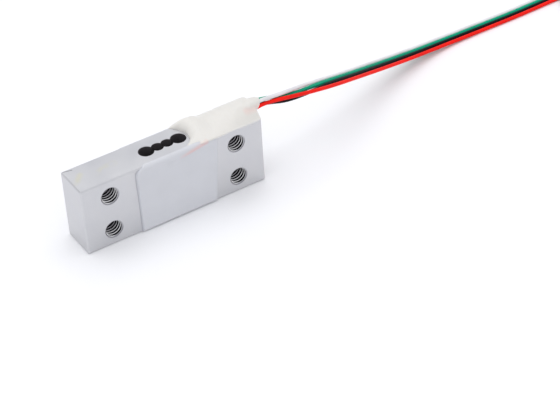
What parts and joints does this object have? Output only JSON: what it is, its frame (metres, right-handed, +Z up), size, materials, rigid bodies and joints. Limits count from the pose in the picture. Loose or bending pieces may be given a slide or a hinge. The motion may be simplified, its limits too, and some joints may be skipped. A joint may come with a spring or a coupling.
{
  "type": "single point load cell",
  "caption": "Small slotted aluminium bending beam with strain gauges and a terminal board under silicone, and fine lead wires, which weighs the load on a small platform.",
  "frame": {"origin": "middle of the beam's base, the 40 mm by 8 mm face that it stands on", "axes": "+X along the beam towards the end that the leads leave, -Y out of the loaded face that the fixed end is screwed from, +Z up"},
  "size_m": [0.1462, 0.0215, 0.018],
  "materials": {
    "beam_alloy": "milled, satin",
    "gauge_film": "thin amber film",
    "gauge_foil": "etched resistance foil",
    "solder": "bright tin",
    "bare_wire": "tinned copper",
    "red_insulation": "smooth, slightly glossy",
    "black_insulation": "smooth, slightly glossy",
    "green_insulation": "smooth, slightly glossy",
    "white_insulation": "smooth, slightly glossy",
    "coat_silicone": "whitish, half clear, matt",
    "board_laminate": "glass-filled laminate",
    "board_copper": "tinned copper",
    "potting_silicone": "ivory, soft sheen",
    "coiled_leads": "four coloured wires together"
  },
  "bodies": {
    "root": {"beam": "beam_alloy", "gauge_backing_front_left": "gauge_film", "gauge_foil_front_left": "gauge_foil", "gauge_backing_front_right": "gauge_film", "gauge_foil_front_right": "gauge_foil", "gauge_solder_front": "solder", "gauge_link_front": "bare_wire", "jumper_front_red": "red_insulation", "jumper_front_black": "black_insulation", "jumper_front_green": "green_insulation", "front_coating": "coat_silicone", "gauge_backing_back_left": "gauge_film", "gauge_foil_back_left": "gauge_foil", "gauge_backing_back_right": "gauge_film", "gauge_foil_back_right": "gauge_foil", "gauge_solder_back": "solder", "gauge_link_back": "bare_wire", "jumper_back_black": "black_insulation", "jumper_back_red": "red_insulation", "jumper_back_white": "white_insulation", "back_coating": "coat_silicone", "terminal_board": "board_laminate", "board_pads": "board_copper", "jumper_solder": "solder", "lead_solder": "solder", "lead_red": "red_insulation", "lead_white": "white_insulation", "lead_black": "black_insulation", "lead_green": "green_insulation", "potting": "potting_silicone", "lead_coil": "coiled_leads"}
  },
  "joints": []
}
